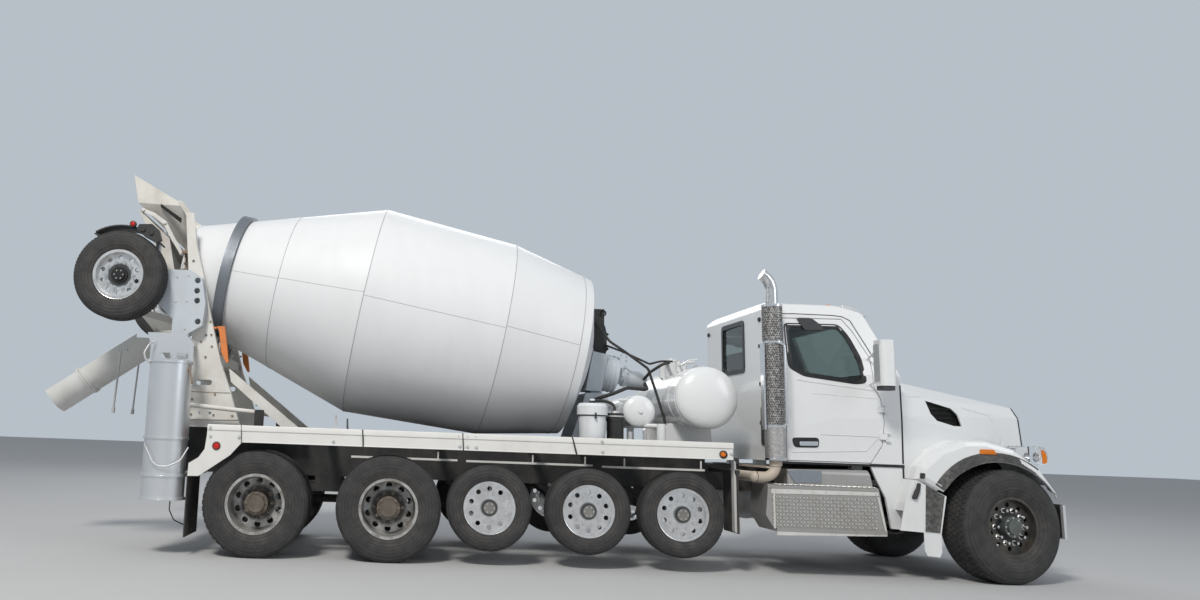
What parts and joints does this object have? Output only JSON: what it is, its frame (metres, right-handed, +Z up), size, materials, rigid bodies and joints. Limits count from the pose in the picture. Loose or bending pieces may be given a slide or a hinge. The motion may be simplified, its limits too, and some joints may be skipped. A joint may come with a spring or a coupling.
{
  "type": "concrete mixer truck",
  "caption": "Long-nosed concrete mixer truck with a tilted revolving drum, rear chutes, pusher axles and a lifted booster axle behind.",
  "frame": {"origin": "on the ground, in the middle of the truck's length and width", "axes": "+X forward, +Y left, +Z up"},
  "size_m": [10.891, 2.9, 4.06],
  "materials": {
    "white_paint": "gloss",
    "drum_paint": "satin",
    "tower_paint": "satin, dusty",
    "black_paint": "satin",
    "grey_paint": "satin",
    "track_steel": "rolled",
    "roller_steel": "machined",
    "pale_steel": "galvanised",
    "polished": "polished",
    "tread_plate": "bright",
    "tyre": "matt",
    "flap_rubber": "matt",
    "window_glass": "tinted",
    "lamp_glass": "clear",
    "inside_plastic": "grained",
    "engine_iron": "cast"
  },
  "bodies": {
    "chassis": {"chassis_frame": "black_paint", "mixer_subframe": "black_paint", "front_axle": "black_paint", "drive_axles": "black_paint", "pusher_axles": "black_paint", "engine": "engine_iron", "bumper": "polished", "cab_shell": "white_paint", "cab_glass": "window_glass", "cab_interior": "inside_plastic", "step_box": "tread_plate", "fuel_tank": "tread_plate", "exhaust": "polished", "splash_panels": "white_paint", "deck_rails": "white_paint", "deck_canister": "white_paint", "mud_flaps": "flap_rubber", "rear_tower": "tower_paint", "front_pedestal": "grey_paint", "gearbox": "grey_paint", "water_tank": "white_paint", "air_tank": "white_paint", "oil_cooler": "black_paint", "collector": "tower_paint", "spare_chute": "tower_paint"},
    "drum": {"drum": "drum_paint", "drum_track": "track_steel"},
    "roller_left": {"drum_roller_left": "roller_steel"},
    "roller_right": {"drum_roller_right": "roller_steel"},
    "hopper": {"hopper": "tower_paint"},
    "hood": {"hood": "white_paint", "grille": "polished", "headlamps": "lamp_glass"},
    "door_left": {"door_left": "white_paint", "door_glass_left": "window_glass"},
    "door_right": {"door_right": "white_paint", "door_glass_right": "window_glass"},
    "knuckle_left": {"knuckle_left": "black_paint"},
    "knuckle_right": {"knuckle_right": "black_paint"},
    "chute_swivel": {"chute_swivel": "tower_paint"},
    "main_chute": {"main_chute": "tower_paint"},
    "fold_chute": {"fold_chute": "tower_paint"},
    "booster_arm": {"booster_arm": "grey_paint"},
    "booster_cylinders": {"booster_cylinders": "black_paint"},
    "booster_rods": {"booster_rods": "polished"},
    "wheel_front_left": {"wheel_front_left": "tyre"},
    "wheel_drive_1_left": {"wheel_drive_1_left": "tyre"},
    "wheel_drive_2_left": {"wheel_drive_2_left": "tyre"},
    "wheel_pusher_1_left": {"wheel_pusher_1_left": "tyre"},
    "wheel_pusher_2_left": {"wheel_pusher_2_left": "tyre"},
    "wheel_pusher_3_left": {"wheel_pusher_3_left": "tyre"},
    "wheel_booster_left": {"wheel_booster_left": "tyre"},
    "wheel_front_right": {"wheel_front_right": "tyre"},
    "wheel_drive_1_right": {"wheel_drive_1_right": "tyre"},
    "wheel_drive_2_right": {"wheel_drive_2_right": "tyre"},
    "wheel_pusher_1_right": {"wheel_pusher_1_right": "tyre"},
    "wheel_pusher_2_right": {"wheel_pusher_2_right": "tyre"},
    "wheel_pusher_3_right": {"wheel_pusher_3_right": "tyre"},
    "wheel_booster_right": {"wheel_booster_right": "tyre"}
  },
  "joints": [
    {"name": "drum_spin", "type": "hinge", "parent": "chassis", "child": "drum", "pos_m": [-1.87661, 0, 2.685], "axis": [0.9833, 0, -0.1822], "continuous": true},
    {"name": "roller_spin_left", "type": "hinge", "parent": "chassis", "child": "roller_left", "pos_m": [-3.55671, 0.37413, 2.18039], "axis": [0.9833, 0, -0.1822], "continuous": true},
    {"name": "roller_spin_right", "type": "hinge", "parent": "chassis", "child": "roller_right", "pos_m": [-3.55671, -0.37413, 2.18039], "axis": [0.9833, 0, -0.1822], "continuous": true},
    {"name": "hopper_tilt", "type": "hinge", "parent": "chassis", "child": "hopper", "pos_m": [-3.84162, 0, 3.56], "axis": [0, 1, 0], "range_deg": [0, 45]},
    {"name": "hood_tilt", "type": "hinge", "parent": "chassis", "child": "hood", "pos_m": [5.31839, 0, 0.9], "axis": [0, 1, 0], "range_deg": [0, 75]},
    {"name": "door_left_swing", "type": "hinge", "parent": "chassis", "child": "door_left", "pos_m": [3.59339, 1.069, 1.56], "axis": [0, 0, -1], "range_deg": [0, 70]},
    {"name": "door_right_swing", "type": "hinge", "parent": "chassis", "child": "door_right", "pos_m": [3.59339, -1.069, 1.56], "axis": [0, 0, 1], "range_deg": [0, 70]},
    {"name": "steer_left", "type": "hinge", "parent": "chassis", "child": "knuckle_left", "pos_m": [4.71338, 0.9, 0.562], "axis": [0, 0, 1], "range_deg": [-42, 22]},
    {"name": "steer_right", "type": "hinge", "parent": "chassis", "child": "knuckle_right", "pos_m": [4.71338, -0.9, 0.562], "axis": [0, 0, 1], "range_deg": [-42, 22]},
    {"name": "spin_front_left", "type": "hinge", "parent": "knuckle_left", "child": "wheel_front_left", "pos_m": [4.68907, 1.03787, 0.562], "axis": [-0.1736, 0.9848, 0], "continuous": true},
    {"name": "spin_drive_1_left", "type": "hinge", "parent": "chassis", "child": "wheel_drive_1_left", "pos_m": [-2.87662, 0.908, 0.525], "axis": [0, 1, 0], "continuous": true},
    {"name": "spin_drive_2_left", "type": "hinge", "parent": "chassis", "child": "wheel_drive_2_left", "pos_m": [-1.53662, 0.908, 0.525], "axis": [0, 1, 0], "continuous": true},
    {"name": "spin_pusher_1_left", "type": "hinge", "parent": "chassis", "child": "wheel_pusher_1_left", "pos_m": [-0.51962, 1.076, 0.567], "axis": [0, 1, 0], "continuous": true},
    {"name": "spin_pusher_2_left", "type": "hinge", "parent": "chassis", "child": "wheel_pusher_2_left", "pos_m": [0.48339, 1.076, 0.567], "axis": [0, 1, 0], "continuous": true},
    {"name": "spin_pusher_3_left", "type": "hinge", "parent": "chassis", "child": "wheel_pusher_3_left", "pos_m": [1.43538, 1.076, 0.567], "axis": [0, 1, 0], "continuous": true},
    {"name": "spin_booster_left", "type": "hinge", "parent": "booster_arm", "child": "wheel_booster_left", "pos_m": [-4.43661, 1.06, 2.81], "axis": [0, 1, 0], "continuous": true},
    {"name": "spin_front_right", "type": "hinge", "parent": "knuckle_right", "child": "wheel_front_right", "pos_m": [4.7377, -1.03787, 0.562], "axis": [-0.1736, 0.9848, 0], "continuous": true},
    {"name": "spin_drive_1_right", "type": "hinge", "parent": "chassis", "child": "wheel_drive_1_right", "pos_m": [-2.87662, -0.908, 0.525], "axis": [0, 1, 0], "continuous": true},
    {"name": "spin_drive_2_right", "type": "hinge", "parent": "chassis", "child": "wheel_drive_2_right", "pos_m": [-1.53662, -0.908, 0.525], "axis": [0, 1, 0], "continuous": true},
    {"name": "spin_pusher_1_right", "type": "hinge", "parent": "chassis", "child": "wheel_pusher_1_right", "pos_m": [-0.51962, -1.076, 0.567], "axis": [0, 1, 0], "continuous": true},
    {"name": "spin_pusher_2_right", "type": "hinge", "parent": "chassis", "child": "wheel_pusher_2_right", "pos_m": [0.48339, -1.076, 0.567], "axis": [0, 1, 0], "continuous": true},
    {"name": "spin_pusher_3_right", "type": "hinge", "parent": "chassis", "child": "wheel_pusher_3_right", "pos_m": [1.43538, -1.076, 0.567], "axis": [0, 1, 0], "continuous": true},
    {"name": "spin_booster_right", "type": "hinge", "parent": "booster_arm", "child": "wheel_booster_right", "pos_m": [-4.43661, -1.06, 2.81], "axis": [0, 1, 0], "continuous": true},
    {"name": "booster_swing", "type": "hinge", "parent": "chassis", "child": "booster_arm", "pos_m": [-3.82661, 0, 1.05], "axis": [0, -1, 0], "range_deg": [0, 89]},
    {"name": "chute_turn", "type": "hinge", "parent": "chassis", "child": "chute_swivel", "pos_m": [-4.07662, 0, 1.86], "axis": [0, 0, -1], "range_deg": [-75, 75]},
    {"name": "chute_lift", "type": "hinge", "parent": "chute_swivel", "child": "main_chute", "pos_m": [-4.12662, 0, 2.05], "axis": [0, 1, 0], "range_deg": [-15, 11]},
    {"name": "chute_fold", "type": "hinge", "parent": "main_chute", "child": "fold_chute", "pos_m": [-5.10205, 0, 1.86873], "axis": [0, 1, 0], "range_deg": [0, 175]},
    {"name": "booster_cylinder_swing", "type": "hinge", "parent": "chassis", "child": "booster_cylinders", "pos_m": [-2.92661, 0, 1.44], "axis": [0, -1, 0], "range_deg": [0, 16.11]},
    {"name": "booster_rod_slide", "type": "slide", "parent": "booster_cylinders", "child": "booster_rods", "axis": [-0.9972, 0, 0.0748], "range_m": [0, 0.5751]}
  ],
  "couplings": [
    {"joint": "roller_spin_left", "follows": "drum_spin", "ratio": -7.0452},
    {"joint": "roller_spin_right", "follows": "drum_spin", "ratio": -7.0452},
    {"joint": "steer_right", "follows": "steer_left", "ratio": 1},
    {"joint": "booster_cylinder_swing", "follows": "booster_swing", "ratio": 0.18101},
    {"joint": "booster_rod_slide", "follows": "booster_swing", "m_per_rad": 0.37027}
  ]
}
